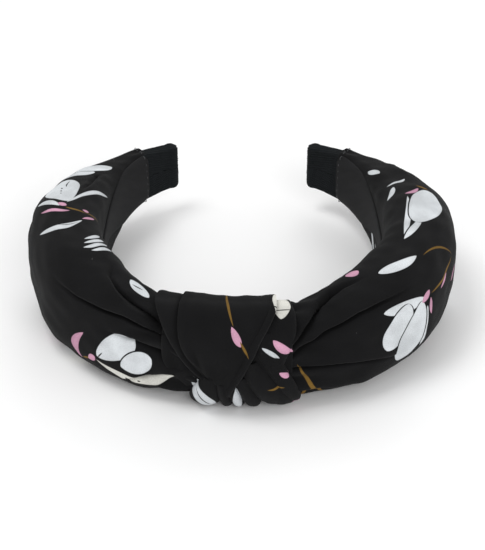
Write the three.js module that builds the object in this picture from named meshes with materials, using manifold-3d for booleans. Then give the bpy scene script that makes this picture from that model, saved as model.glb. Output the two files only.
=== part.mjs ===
// Knotted headband: a sprung plastic band, padded on its outer face, in a gathered cloth sleeve that is
// knotted at the front and finished with a ribbon round each tip.
// Millimetres. +Z is up: the band lies on its lower edge, the knot is at -Y and the two tips are at +Y.
// Places along the band are angles in degrees round from the front, negative on the left (-X) side.

import * as THREE from 'three';
import { mergeVertices } from 'three/addons/utils/BufferGeometryUtils.js';
import Module from 'manifold-3d';

const { clamp, degToRad, lerp, smoothstep } = THREE.MathUtils;

// Plan of the band, along the middle of its cloth cover
const halfWidth = 65;
const frontDepth = 66;
const rearDepth = 72.5;
const tipAngle = 155.5;
const cuffAngle = 142;
const taperAngle = 85;
const hingeAngle = 40;
const knotAngle = -4;
const knotHalfAngle = 17;
const swellAngle = 58;

// Cloth sleeve: full thickness across the band and full height at each place
const neck = { thickness: 18, height: 35.5 };
const side = { thickness: 27, height: 41 };
const cuff = { thickness: 8.4, height: 21.5 };
const clothWall = 1;

// Inside the sleeve
const coreThickness = 2.2;
const coreFrontHeight = 25;
const coreTipHeight = 16.2;
const turnedEdgeRoom = 0.9; // between the sleeve and the core, for the sleeve's turned edges and their glue
const foamFrontOuter = 3.6;
const foamHeightMargin = 2.2;
const foamEndAngle = 134;

// Lining ribbon, glued over the sleeve on the side towards the head
const liningThickness = 0.6;
const liningMargin = 1.4;

// Knot: a bunch of cloth round the band, with two layers of folded bands over it
const bunch = { outer: 5.6, height: 31, wall: 1.2 };
const bandLayer = 2.2;
const knotWrapHalfWidth = 16;
const knotTipHeight = 8;
const hemWidth = 2.4;
const hemFoot = 1.5; // where the hem ends at its foot, to the right of the knot's middle
const hemRun = 13; // how far the hem leans to the right over the height of the sleeve
const wrapBow = 3; // how far the front wrap's left edge bows out
const wrapBowShare = 0.6; // height of the bow, as a share of the knot's height
const pleatTop = 7.6;
const strapHalfWidth = 15;
const knotSplitOffset = -4;

// Tips
const ribbonThickness = 0.9;
const ribbonEndThickness = 1.6;
const stitchWidth = 1;
const stitchThickness = 0.5;

const gap = 0.3;
const middleHeight = side.height / 2;
const angleStep = 7;
const cornerSegments = 2;
const beyond = 60; // how far cutting tools run past what they cut

const wasm = await Module();
wasm.setup();

const plainMaterial = (color, roughness) => new THREE.MeshStandardMaterial({ color, roughness, metalness: 0 });
const materials = {
  cloth: plainMaterial(0x1e1e1e, 0.85),
  knotCloth: plainMaterial(0x242424, 0.85),
  core: plainMaterial(0x111111, 0.45),
  foam: plainMaterial(0xd8d4c8, 0.95),
  lining: plainMaterial(0x2a2a2a, 0.6),
  grosgrain: plainMaterial(0x121618, 0.75),
  thread: plainMaterial(0x8e8e8e, 0.7),
};

// --- Places on the band ---------------------------------------------------------------------------------

// A point at an angle round the band, at an offset out from the middle line and at a height
function onBand(angle, offset, height) {
  const turn = degToRad(angle);
  const depth = Math.cos(turn) > 0 ? frontDepth : rearDepth;
  const along = new THREE.Vector2(halfWidth * Math.cos(turn), depth * Math.sin(turn)).normalize();
  const x = halfWidth * Math.sin(turn) + offset * along.y;
  const y = -depth * Math.cos(turn) - offset * along.x;
  return new THREE.Vector3(x, y, height);
}

// 0 at the knot's edge, 1 where the sleeve has swollen to its full size
const swellAt = (angle) => smoothstep(Math.abs(angle - knotAngle), knotHalfAngle, swellAngle);

// 0 along the sides, 1 at the cuff
const taperAt = (angle) => clamp((Math.abs(angle) - taperAngle) / (cuffAngle - taperAngle), 0, 1);

function sleeveAt(angle) {
  const thinning = 1 - Math.cos(taperAt(angle) * Math.PI / 2);
  const narrowing = smoothstep(taperAt(angle), 0, 1);
  const thickness = lerp(lerp(neck.thickness, side.thickness, swellAt(angle)), cuff.thickness, thinning);
  const height = lerp(lerp(neck.height, side.height, swellAt(angle)), cuff.height, narrowing);
  return block(-thickness / 2, thickness / 2, height);
}

// A section across the band: two offsets, and a height centred on the band's middle
function block(inner, outer, height) {
  return { inner, outer, low: middleHeight - height / 2, high: middleHeight + height / 2 };
}

function grown(section, by) {
  return { inner: section.inner - by, outer: section.outer + by, low: section.low - by, high: section.high + by };
}

function coreHeightAt(angle) {
  return lerp(coreFrontHeight, coreTipHeight, Math.abs(angle) / tipAngle);
}

function coreAt(angle) {
  const inner = sleeveAt(angle).inner + clothWall + turnedEdgeRoom;
  return block(inner, inner + coreThickness, coreHeightAt(angle));
}

function liningAt(angle) {
  const outer = sleeveAt(angle).inner - gap;
  return block(outer - liningThickness, outer, coreHeightAt(angle) - 2 * liningMargin);
}

function foamAt(angle) {
  const sleeve = sleeveAt(angle);
  const room = sleeve.outer - clothWall - gap;
  const underKnot = bunch.height - 2 * (bunch.wall + gap + foamHeightMargin);
  const inSleeve = sleeve.high - sleeve.low - 2 * (clothWall + gap + foamHeightMargin);
  const outer = lerp(foamFrontOuter, room, swellAt(angle));
  return block(coreAt(angle).outer + gap, outer, lerp(underKnot, inSleeve, swellAt(angle)));
}

// The bunch of cloth in the knot closes round the same core as the sleeve
function bunchAt() {
  const inner = -neck.thickness / 2 + clothWall - gap - bunch.wall;
  return block(inner, bunch.outer, bunch.height);
}

function ribbonAt(angle) {
  return grown(coreAt(Math.sign(angle) * Math.max(Math.abs(angle), cuffAngle)), gap + ribbonThickness);
}

// --- Shapes across the band: x is up and y is out, both from -1 to 1 ------------------------------------------

// Flat against the head, round on the outside, with a narrow flat along its lower and upper edges
function padOutline() {
  const headFlat = 0.62;
  const outFlat = 0.2;
  const edgeStart = -0.4;
  const edgeEnd = 0.05;
  const outline = new THREE.Shape();
  outline.moveTo(-headFlat, -1);
  outline.lineTo(headFlat, -1);
  outline.absellipse(headFlat, edgeStart, 1 - headFlat, 1 + edgeStart, -Math.PI / 2, 0, false);
  outline.lineTo(1, edgeEnd);
  outline.absellipse(outFlat, edgeEnd, 1 - outFlat, 1 - edgeEnd, 0, Math.PI / 2, false);
  outline.lineTo(-outFlat, 1);
  outline.absellipse(-outFlat, edgeEnd, 1 - outFlat, 1 - edgeEnd, Math.PI / 2, Math.PI, false);
  outline.lineTo(-1, edgeStart);
  outline.absellipse(-headFlat, edgeStart, 1 - headFlat, 1 + edgeStart, Math.PI, Math.PI * 1.5, false);
  return outline;
}

function stripOutline() {
  const outline = new THREE.Shape();
  outline.moveTo(-1, -1);
  outline.lineTo(1, -1);
  outline.lineTo(1, 1);
  outline.lineTo(-1, 1);
  outline.closePath();
  return outline;
}

// A bar laid along the band between two angles, in either order, whose section is given at each angle
function alongBand(outline, oneEnd, otherEnd, sectionAt) {
  const fromAngle = Math.min(oneEnd, otherEnd);
  const toAngle = Math.max(oneEnd, otherEnd);
  const steps = Math.ceil((toAngle - fromAngle) / angleStep);
  const bar = new THREE.ExtrudeGeometry(outline, { depth: 1, steps, bevelEnabled: false, curveSegments: cornerSegments });
  const places = bar.attributes.position;
  for (let i = 0; i < places.count; i += 1) {
    const angle = lerp(fromAngle, toAngle, places.getZ(i));
    const section = sectionAt(angle);
    const height = lerp(section.low, section.high, (places.getX(i) + 1) / 2);
    const offset = lerp(section.inner, section.outer, (places.getY(i) + 1) / 2);
    const place = onBand(angle, offset, height);
    places.setXYZ(i, place.x, place.y, place.z);
  }
  return bar;
}

// --- Joins and cuts --------------------------------------------------------------------------------------------

function solidOf(geometry) {
  const plain = geometry.clone();
  plain.deleteAttribute('normal');
  plain.deleteAttribute('uv');
  const merged = mergeVertices(plain);
  const vertProperties = merged.attributes.position.array;
  const triVerts = new Uint32Array(merged.index.array);
  return new wasm.Manifold(new wasm.Mesh({ numProp: 3, vertProperties, triVerts }));
}

function geometryOf(solid) {
  const mesh = solid.getMesh();
  const geometry = new THREE.BufferGeometry();
  geometry.setAttribute('position', new THREE.BufferAttribute(new Float32Array(mesh.vertProperties), 3));
  geometry.setIndex(new THREE.BufferAttribute(new Uint32Array(mesh.triVerts), 1));
  geometry.computeVertexNormals();
  return geometry;
}

// What lies between two sizes of the same section: a tube, open at both ends
function tubeAlong(outline, oneEnd, otherEnd, outerAt, innerAt) {
  const past = Math.sign(otherEnd - oneEnd);
  const outer = solidOf(alongBand(outline, oneEnd, otherEnd, outerAt));
  const inner = solidOf(alongBand(outline, oneEnd - past, otherEnd + past, innerAt));
  return outer.subtract(inner);
}

// --- The band's layers ----------------------------------------------------------------------------------------

// Half of the gap between two pieces that meet end to end, as an angle
const endGap = THREE.MathUtils.radToDeg(gap / 2 / (halfWidth - side.thickness / 2));

const stretches = {
  crown: [-hingeAngle + endGap, hingeAngle - endGap],
  left_arm: [-hingeAngle - endGap, -tipAngle],
  right_arm: [hingeAngle + endGap, tipAngle],
};

function core(from, to) {
  return alongBand(stripOutline(), from, to, coreAt);
}

function foam(from, to) {
  return alongBand(padOutline(), from, clamp(to, -foamEndAngle, foamEndAngle), foamAt);
}

function lining(from, to) {
  return alongBand(stripOutline(), from, to, liningAt);
}

function sleeve(from, to) {
  return geometryOf(tubeAlong(padOutline(), from, to, sleeveAt, (angle) => grown(sleeveAt(angle), -clothWall)));
}

const knotEdge = (sign) => knotAngle + sign * (knotHalfAngle + endGap);

// The sleeve and the lining each run from the knot to the flexing place, and on from there to the cuff
const coverStretches = (sign) => ({
  neck: [knotEdge(sign), sign * (hingeAngle - endGap)],
  arm: [sign * (hingeAngle + endGap), sign * cuffAngle],
});

// A ribbon folded round the tip: open towards the cuff, closed over the end of the core
function tipRibbon(sign) {
  const endAngle = tipAngle + THREE.MathUtils.radToDeg((gap + ribbonEndThickness) / rearDepth);
  const hollowEnd = tipAngle + THREE.MathUtils.radToDeg(gap / rearDepth);
  const start = cuffAngle + endGap;
  const outer = solidOf(alongBand(stripOutline(), sign * start, sign * endAngle, ribbonAt));
  const hollowAt = (angle) => grown(ribbonAt(angle), -ribbonThickness);
  const hollow = solidOf(alongBand(stripOutline(), sign * (start - 1), sign * hollowEnd, hollowAt));
  return geometryOf(outer.subtract(hollow));
}

// The ring of sewing that holds the ribbon's edge beside the cuff
function tipStitches(sign) {
  const start = cuffAngle + 2 * endGap;
  const end = start + THREE.MathUtils.radToDeg(stitchWidth / rearDepth);
  const threadInner = (angle) => grown(ribbonAt(angle), gap);
  const threadOuter = (angle) => grown(ribbonAt(angle), gap + stitchThickness);
  return geometryOf(tubeAlong(stripOutline(), sign * start, sign * end, threadOuter, threadInner));
}

// --- The knot ---------------------------------------------------------------------------------------------------

const knotFrom = knotAngle - knotHalfAngle + endGap;
const knotTo = knotAngle + knotHalfAngle - endGap;
const knotMiddle = onBand(knotAngle, 0, middleHeight);
const knotTurn = degToRad(knotAngle);
const innerLayer = { from: gap, to: gap + bandLayer };
const outerLayer = { from: 2 * gap + bandLayer, to: 2 * gap + 2 * bandLayer };

function knotTube(from, to) {
  return tubeAlong(padOutline(), knotFrom, knotTo, () => grown(bunchAt(), to), () => grown(bunchAt(), from));
}

// A cutter: an outline across the knot's face, in x from the knot's middle and z from the ground,
// run through the knot between two depths measured out from the middle line
function faceCutter(outline, fromDepth, toDepth) {
  const depth = toDepth - fromDepth;
  const cutter = new THREE.ExtrudeGeometry(outline, { depth, bevelEnabled: false, curveSegments: 5 });
  cutter.rotateX(Math.PI / 2);
  cutter.translate(0, -fromDepth, 0);
  cutter.rotateZ(knotTurn);
  cutter.translate(knotMiddle.x, knotMiddle.y, 0);
  return solidOf(cutter);
}

function knotPiece(layer, outline) {
  return geometryOf(knotTube(layer.from, layer.to).intersect(faceCutter(outline, knotSplitOffset, beyond)));
}

const knotTop = side.height + gap;

const hemX = (height) => hemFoot + (hemRun / side.height) * (height - knotTipHeight);

// The wrap's left edge, from its top to its tip, moved to the left and down by a margin
function addWrapEdge(outline, margin) {
  outline.bezierCurveTo(-knotWrapHalfWidth - wrapBow - margin, knotTop * wrapBowShare,
    -knotWrapHalfWidth - margin, knotTipHeight * 2, hemX(knotTipHeight) - margin, knotTipHeight - margin / 2);
}

function frontWrapOutline() {
  const outline = new THREE.Shape();
  outline.moveTo(hemX(knotTipHeight), knotTipHeight);
  outline.lineTo(hemX(knotTop), knotTop);
  outline.lineTo(-knotWrapHalfWidth, knotTop);
  addWrapEdge(outline, 0);
  return outline;
}

function sideBandOutline() {
  const outline = new THREE.Shape();
  outline.moveTo(-knotWrapHalfWidth - gap, knotTop);
  addWrapEdge(outline, gap);
  outline.lineTo(-beyond, knotTipHeight - gap / 2);
  outline.lineTo(-beyond, knotTop);
  outline.closePath();
  return outline;
}

function hemOutline() {
  const outline = new THREE.Shape();
  outline.moveTo(hemX(knotTipHeight) + gap, knotTipHeight);
  outline.lineTo(hemX(knotTipHeight) + gap + hemWidth, knotTipHeight);
  outline.lineTo(hemX(knotTop) + gap + hemWidth, knotTop);
  outline.lineTo(hemX(knotTop) + gap, knotTop);
  outline.closePath();
  return outline;
}

function rectangle(halfSpan, low, high) {
  const outline = new THREE.Shape();
  outline.moveTo(-halfSpan, low);
  outline.lineTo(halfSpan, low);
  outline.lineTo(halfSpan, high);
  outline.lineTo(-halfSpan, high);
  outline.closePath();
  return outline;
}

function backStrap() {
  const outline = rectangle(strapHalfWidth, -gap, knotTop);
  const cutter = faceCutter(outline, -beyond, knotSplitOffset - gap);
  return geometryOf(knotTube(innerLayer.from, innerLayer.to).intersect(cutter));
}

const pleatLayers = { from: innerLayer.from, to: outerLayer.to };

const knotPieces = {
  knot_bunch: () => geometryOf(knotTube(-bunch.wall, 0)),
  knot_front_wrap: () => knotPiece(outerLayer, frontWrapOutline()),
  knot_side_band: () => knotPiece(outerLayer, sideBandOutline()),
  knot_rolled_hem: () => knotPiece(outerLayer, hemOutline()),
  knot_under_wrap: () => knotPiece(innerLayer, rectangle(beyond, knotTipHeight, knotTop)),
  knot_pleats: () => knotPiece(pleatLayers, rectangle(beyond, -gap, pleatTop)),
  knot_back_strap: backStrap,
};

// --- The whole headband ----------------------------------------------------------------------------------------

const headband = new THREE.Group();

function addPiece(name, geometry, material) {
  const mesh = new THREE.Mesh(geometry, material);
  mesh.name = name;
  headband.add(mesh);
}

for (const [place, [from, to]] of Object.entries(stretches)) {
  addPiece(`core_${place}`, core(from, to), materials.core);
  addPiece(`foam_${place}`, foam(from, to), materials.foam);
}

for (const [hand, sign] of [['left', -1], ['right', 1]]) {
  for (const [place, [from, to]] of Object.entries(coverStretches(sign))) {
    addPiece(`sleeve_${hand}_${place}`, sleeve(from, to), materials.cloth);
    addPiece(`lining_${hand}_${place}`, lining(from, to), materials.lining);
  }
  addPiece(`tip_ribbon_${hand}`, tipRibbon(sign), materials.grosgrain);
  addPiece(`tip_stitches_${hand}`, tipStitches(sign), materials.thread);
}

for (const [name, make] of Object.entries(knotPieces)) {
  addPiece(name, make(), materials.knotCloth);
}

// The origin is under the middle of the whole headband, on the surface that it lies on
const box = new THREE.Box3().setFromObject(headband);
const middle = box.getCenter(new THREE.Vector3());
headband.position.set(-middle.x, -middle.y, -box.min.z);

export default headband;
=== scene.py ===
import math

import bpy
import numpy as np
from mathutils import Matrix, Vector


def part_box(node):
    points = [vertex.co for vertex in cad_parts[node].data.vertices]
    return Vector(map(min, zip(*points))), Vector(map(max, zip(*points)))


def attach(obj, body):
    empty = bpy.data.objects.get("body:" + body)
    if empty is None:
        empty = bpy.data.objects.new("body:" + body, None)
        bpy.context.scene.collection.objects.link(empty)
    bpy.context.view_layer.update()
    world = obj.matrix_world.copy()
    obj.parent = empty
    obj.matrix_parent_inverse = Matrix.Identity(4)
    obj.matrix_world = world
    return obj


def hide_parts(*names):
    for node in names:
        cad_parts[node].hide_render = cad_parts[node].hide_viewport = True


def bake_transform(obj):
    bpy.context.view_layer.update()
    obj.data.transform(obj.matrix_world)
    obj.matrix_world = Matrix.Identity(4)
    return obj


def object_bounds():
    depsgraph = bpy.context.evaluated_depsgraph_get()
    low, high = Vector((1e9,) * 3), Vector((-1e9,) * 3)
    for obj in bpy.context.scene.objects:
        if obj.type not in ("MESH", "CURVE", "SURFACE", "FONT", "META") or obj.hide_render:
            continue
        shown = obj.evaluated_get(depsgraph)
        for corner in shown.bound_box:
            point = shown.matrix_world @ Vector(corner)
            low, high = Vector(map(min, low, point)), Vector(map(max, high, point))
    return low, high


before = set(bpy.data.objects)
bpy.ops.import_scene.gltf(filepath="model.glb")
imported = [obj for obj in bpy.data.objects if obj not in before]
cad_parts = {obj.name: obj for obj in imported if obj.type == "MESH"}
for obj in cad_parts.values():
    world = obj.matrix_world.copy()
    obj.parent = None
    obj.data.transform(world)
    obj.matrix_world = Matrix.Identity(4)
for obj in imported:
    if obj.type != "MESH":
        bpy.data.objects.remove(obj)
cadLow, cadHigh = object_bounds()
mm = 0.001

# The band's plan, along the middle of its cloth cover, with sizes in millimetres and places in degrees
band = {
    "sideThickness": 27.0,
    "sideHeight": 41.0,
    "cuffThickness": 8.4,
    "cuffHeight": 21.5,
    "frontDepth": 66.0,
    "rearDepth": 72.5,
    "knotProud": 10.6,
    "knotAngle": -4.0,
    "taperAngle": 85.0,
    "cuffAngle": 142.0,
    "tipAngle": 155.5,
}
band["halfWidth"] = cadHigh.x / mm - band["sideThickness"] / 2
band["middleY"] = cadLow.y / mm + band["frontDepth"] + band["knotProud"]
band["middleHeight"] = (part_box("core_crown")[0].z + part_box("core_crown")[1].z) / 2 / mm

view = {
    "target": (0.0, -9.7, 18.6),   # mm
    "distance": 650.0,             # mm
    "elevation": 32.9,             # degrees
    "lens": 116.6,
}


def addCamera():
    rise = math.radians(view["elevation"])
    target = Vector(view["target"]) * mm
    back = Vector((0, -math.cos(rise), math.sin(rise)))
    bpy.ops.object.camera_add(location=target + back * view["distance"] * mm)
    camera = bpy.context.object
    camera.rotation_euler = (math.pi / 2 - rise, 0, 0)
    camera.data.lens = view["lens"]
    camera.data.clip_start = 0.01
    bpy.context.scene.camera = camera


addCamera()
print("camera placed")


def smooth(x, low, high):
    t = np.clip((np.asarray(x, float) - low) / (high - low), 0, 1)
    return t * t * (3 - 2 * t)


def mix(a, b, t):
    return a + (b - a) * t


def middleLine(angle):   # middle of the cover and its outward direction, in plan, in mm
    turn = np.radians(angle)
    depth = np.where(np.cos(turn) > 0, band["frontDepth"], band["rearDepth"])
    outX, outY = depth * np.sin(turn), -band["halfWidth"] * np.cos(turn)
    size = np.hypot(outX, outY)
    place = band["halfWidth"] * np.sin(turn), -depth * np.cos(turn) + band["middleY"]
    return place[0], place[1], outX / size, outY / size


lineAngles = np.arange(-158, 158.1, 0.5)
lineX, lineY = middleLine(lineAngles)[:2]
lineRuns = np.concatenate([[0], np.cumsum(np.hypot(np.diff(lineX), np.diff(lineY)))])
lineRuns -= np.interp(0, lineAngles, lineRuns)


def angleAt(run):   # run is the distance along the band from the front, in mm, negative on the left
    return np.interp(run, lineRuns, lineAngles)


def runAt(angle):
    return float(np.interp(angle, lineAngles, lineRuns))


# Half of a section, from its outer middle over the top to its inner middle
def halfOutline(headFlat, outFlat, edgeStart, edgeEnd, steps=14):
    points = [(0.0, 1.0)]
    for i in range(steps + 1):
        a = math.pi / 2 * (1 - i / steps)
        points.append((outFlat + (1 - outFlat) * math.cos(a), edgeEnd + (1 - edgeEnd) * math.sin(a)))
    for i in range(steps + 1):
        a = -math.pi / 2 * i / steps
        points.append((headFlat + (1 - headFlat) * math.cos(a), edgeStart + (1 + edgeStart) * math.sin(a)))
    points.append((0.0, -1.0))
    return np.array(points)


padOutline = halfOutline(0.62, 0.2, -0.4, 0.05)
ribbonOutline = halfOutline(0.93, 0.93, -0.2, 0.2)


# The place across mm round a section from its outer middle, where up is positive, and half its way round
def around(outline, across, thickness, height):
    ups = outline[:, 0][None] * height[:, None] / 2
    outs = outline[:, 1][None] * thickness[:, None] / 2
    steps = np.hypot(np.diff(ups, axis=1), np.diff(outs, axis=1))
    runs = np.concatenate([np.zeros((len(across), 1)), np.cumsum(steps, axis=1)], axis=1)
    total = runs[:, -1]
    away, sign = np.abs(across), np.sign(across)
    past = away > total
    away = np.where(past, 2 * total - away, away)
    sign = np.where(past, -sign, sign)
    k = np.clip((runs < away[:, None]).sum(1), 1, runs.shape[1] - 1)
    rows = np.arange(len(across))
    t = (away - runs[rows, k - 1]) / np.maximum(runs[rows, k] - runs[rows, k - 1], 1e-9)
    up = mix(ups[rows, k - 1], ups[rows, k], t) * sign
    return up, mix(outs[rows, k - 1], outs[rows, k], t), total


# A surface round the band, where sizeAt gives thickness, height, outward shift and lean at each run
class Skin:

    def __init__(self, outline, sizeAt):
        self.outline = outline
        self.sizeAt = sizeAt

    def girth(self, run):   # from the outer middle to the inner middle
        thickness, height = self.sizeAt(run)[:2]
        return around(self.outline, np.zeros(len(run)), thickness, height)[2]

    def point(self, run, across):
        thickness, height, shift, lean = self.sizeAt(run)
        up, out, total = around(self.outline, across, thickness, height)
        x, y, outX, outY = middleLine(angleAt(run))
        out = out + shift + lean * up / (band["sideHeight"] / 2)
        return np.stack([x + outX * out, y + outY * out, band["middleHeight"] + up], -1)

    def lifted(self, run, across, lift):
        step = 0.15   # mm, for the slope
        forward = self.point(run + step, across) - self.point(run - step, across)
        upward = self.point(run, across + step) - self.point(run, across - step)
        normal = np.cross(forward, upward)
        normal /= np.maximum(np.linalg.norm(normal, axis=1, keepdims=True), 1e-9)
        return self.point(run, across) + normal * np.asarray(lift)[:, None]


sleeve = {
    "neckThickness": 14.0,
    "neckHeight": 32.0,
    "startAngle": 8.5,          # degrees from the knot's middle, under the knot's bands
    "swellStart": 10.0,         # degrees from the knot's middle
    "swellEnd": 62.0,
    "lean": 1.0,                # mm that the top edge of each side leans out
    "leanStart": (50.0, 80.0),  # degrees from the front
    "leanEnd": (132.0, 150.0),
    "wall": 0.45,
    "knotReach": 17.0,          # mm each side of the knot's middle that its bands cover
    "gatherDepth": 0.8,
    "gatherPitch": 6.5,
    "gatherReach": 11.0,
    "gatherWander": 30.0,
    "waveDepth": 0.45,
    "waveSize": 26.0,
    "smallWaveSize": 9.0,
    "smallWaveShare": 0.35,
    "cuffPleatDepth": 0.3,
    "cuffPleatPitch": 5.0,
    "cuffPleatReach": 7.0,
    "sag": 1.6,                 # mm that the gathered cloth hangs down beside the knot
    "sagPlace": 8.0,            # mm from the end of the knot's bands
    "sagReach": 24.0,
    "sagEdge": 12.0,
    "headFlat": (6.0, 14.0),    # mm from the inner middle, where the folds fade out towards the head
    "hemOverlap": 1.4,          # mm past the cuff, tucked under the stitches
    "hemTuck": 1.5,
    "seamGap": 0.1,
    "flatWidth": 125.0,
}
# The thickness that sets where the sleeve's inner face lies, whatever the sleeve's own thickness
coreCover = {"neckThickness": 18.0, "swellStart": 17.0, "swellEnd": 58.0}


def sleeveThickness(neckThickness, swell, thinning):
    return mix(mix(neckThickness, band["sideThickness"], swell), band["cuffThickness"], thinning)


def sleeveSize(run):
    angle = angleAt(run)
    fromKnot = np.abs(angle - band["knotAngle"])
    taper = np.clip((np.abs(angle) - band["taperAngle"]) / (band["cuffAngle"] - band["taperAngle"]), 0, 1)
    thinning = 1 - np.cos(taper * math.pi / 2)
    swell = smooth(fromKnot, sleeve["swellStart"], sleeve["swellEnd"])
    thickness = sleeveThickness(sleeve["neckThickness"], swell, thinning)
    height = mix(sleeve["neckHeight"], band["sideHeight"], swell)
    height = mix(height, band["cuffHeight"], smooth(taper, 0, 1))
    coverSwell = smooth(fromKnot, coreCover["swellStart"], coreCover["swellEnd"])
    coverThickness = sleeveThickness(coreCover["neckThickness"], coverSwell, thinning)
    leanIn = smooth(np.abs(angle), *sleeve["leanStart"])
    leanOut = smooth(np.abs(angle), *sleeve["leanEnd"])
    return thickness, height, (thickness - coverThickness) / 2, sleeve["lean"] * leanIn * (1 - leanOut)


sleeveSkin = Skin(padOutline, sleeveSize)


def ripple(run, across, size, seed):   # gentle waves of about that size in mm, from -1 to 1
    rng = np.random.default_rng(seed)
    total = np.zeros(len(run))
    for i in range(7):
        turn = rng.uniform(0, math.pi)
        wave = 2 * math.pi / (size * rng.uniform(0.7, 1.6))
        total += np.sin(wave * (run * math.cos(turn) + across * math.sin(turn)) + rng.uniform(0, 6.3))
    return total / 3.5


creases = {
    "fadeStart": 0.45,       # share of a fold's length after which it runs out
    "shadeWidth": 0.65,      # mm
    "ledgeSteepness": 0.6,   # share of the fold's width
}


# A fold that starts deep and runs out: a valley with a ledge of cloth beside it
def crease(run, across, fold, shadeOnly=False):
    points = np.array(fold["path"], float)
    place = np.stack([run, across], -1)
    lengths = np.linalg.norm(np.diff(points, axis=0), axis=1)
    best = np.full(len(run), 1e9)
    signed = np.zeros(len(run))
    progress = np.zeros(len(run))
    for i, length in enumerate(lengths):
        step = (points[i + 1] - points[i]) / length
        offset = place - points[i]
        t = np.clip(offset @ step, 0, length)
        gap = offset - t[:, None] * step
        away = np.linalg.norm(gap, axis=1)
        nearer = away < best
        best = np.where(nearer, away, best)
        signed = np.where(nearer, away * np.where(gap[:, 1] >= 0, 1, -1), signed)
        progress = np.where(nearer, (lengths[:i].sum() + t) / lengths.sum(), progress)
    fade = 1 - smooth(progress, creases["fadeStart"], 1)
    # With shadeOnly the fold gives painted shade for the cloth's colour, dark along its valley and fading as
    # it runs out
    if shadeOnly:
        return fade * np.exp(-(signed / creases["shadeWidth"]) ** 2)
    valley = -fold["depth"] * np.exp(-(signed / fold["width"]) ** 2)
    signed = signed * fold["overlap"]
    above = np.clip(signed, 0, None)
    rise = 1 - np.exp(-above / (fold["width"] * creases["ledgeSteepness"]))
    ledge = fold["ledge"] * rise * np.exp(-(above / fold["reach"]) ** 2)
    return fade * (valley + np.where(signed > 0, ledge, 0))


# A fold's path in (run, across) and its sizes in mm; overlap is 1 where the upper side lies on top, else -1
def folded(path, depth=1.6, width=1.0, ledge=1.6, reach=5.0, overlap=1):
    return {"path": path, "depth": depth, "width": width, "ledge": ledge, "reach": reach, "overlap": overlap}


leftFolds = [
    folded([(-16, 5), (-27.4, 10.8), (-31.6, 13.9), (-37.7, 16.3), (-44, 19.6), (-51, 24.5), (-58, 33)],
           depth=2.4, width=0.6, ledge=2.4, reach=6, overlap=-1),
    folded([(-17, 5), (-27.4, 8.6), (-38.6, 11), (-47, 11.0), (-57.6, 11.7), (-72, 14)],
           depth=2.0, width=0.6, ledge=1.8, reach=5),
    folded([(-17, -1), (-28.2, 1.3), (-34.7, 3.2), (-48, 3.2)], depth=1.2, width=0.8, ledge=1.3, reach=4),
    folded([(-14, -4), (-21, -6.6), (-27, -8.4), (-31.2, -9.9), (-44, -17)],
           depth=1.8, width=0.6, ledge=1.8, reach=4),
    folded([(-14, -12), (-28, -17), (-50, -23)], depth=1.6, width=0.8, ledge=1.3),
    folded([(-22, 24), (-34, 31), (-50, 41)], depth=1.6, width=0.8, ledge=1.5),
    folded([(-127, 6), (-119, 10), (-108, 12), (-94, 13)], depth=0.9, width=1.4, ledge=0.7),
    folded([(-134, 26), (-124, 30), (-110, 32)], depth=1.1, width=1.0, ledge=0.9),
    folded([(-141, 4), (-132, 8), (-120, 8)], depth=0.9, width=1.0, ledge=0.7),
]
rightFolds = [
    folded([(10, 0.5), (15.9, 6.5), (19.6, 10.4), (23.5, 15.7), (26.6, 20.2), (32.2, 24.4), (38, 26.5),
            (50, 27.5)], depth=2.6, width=0.6, ledge=2.6, reach=6),
    folded([(10, -2), (18.3, 4.4), (25.9, 9), (32.3, 11.4), (38.1, 13.6), (46, 15), (62, 16)],
           depth=2.2, width=0.6, ledge=2.2, reach=5),
    folded([(10, -4), (18, -3), (24, -3), (30.6, -4), (37.2, -5.3), (56, -10)],
           depth=1.9, width=0.6, ledge=1.9, reach=4.5),
    folded([(12, -13), (24, -13), (42, -17), (62, -21)], depth=1.6, width=0.8, ledge=1.4),
    folded([(12, 20), (22, 29), (40, 38)], depth=1.6, width=0.8, ledge=1.3),
    folded([(128, 8), (118, 9), (106, 6), (94, 5)], depth=0.9, width=1.4, ledge=0.7),
    folded([(140, 16), (130, 18), (118, 17)], depth=0.9, width=1.0, ledge=0.7),
]


def sleeveLift(run, across, folds, seed):
    cuffRun = runAt(band["cuffAngle"])
    fromKnot = np.abs(run - runAt(band["knotAngle"])) - sleeve["knotReach"]
    toCuff = np.abs(np.abs(run) - cuffRun)
    outer = smooth(sleeveSkin.girth(run) - np.abs(across), *sleeve["headFlat"])
    lift = sum(crease(run, across, fold) for fold in folds)
    wander = 2 * ripple(run, across, sleeve["gatherWander"], seed)
    gather = np.sin(2 * math.pi * across / sleeve["gatherPitch"] + wander)
    nearKnot = np.exp(-(np.clip(fromKnot, 0, None) / sleeve["gatherReach"]) ** 2)
    lift += sleeve["gatherDepth"] * gather * nearKnot
    wave = ripple(run, across, sleeve["waveSize"], seed + 1)
    smallWave = ripple(run, across, sleeve["smallWaveSize"], seed + 2)
    lift += sleeve["waveDepth"] * (wave + sleeve["smallWaveShare"] * smallWave)
    pleating = np.sin(2 * math.pi * across / sleeve["cuffPleatPitch"])
    lift += sleeve["cuffPleatDepth"] * pleating * np.exp(-(toCuff / sleeve["cuffPleatReach"]) ** 2)
    sagging = np.exp(-((fromKnot - sleeve["sagPlace"]) / sleeve["sagReach"]) ** 2)
    lift -= sleeve["sag"] * sagging * np.clip(across / sleeve["sagEdge"], -1, 1)
    tuck = sleeve["hemTuck"] * smooth(np.abs(run), cuffRun - 0.4, cuffRun + sleeve["hemOverlap"])
    return lift * outer - tuck


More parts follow.
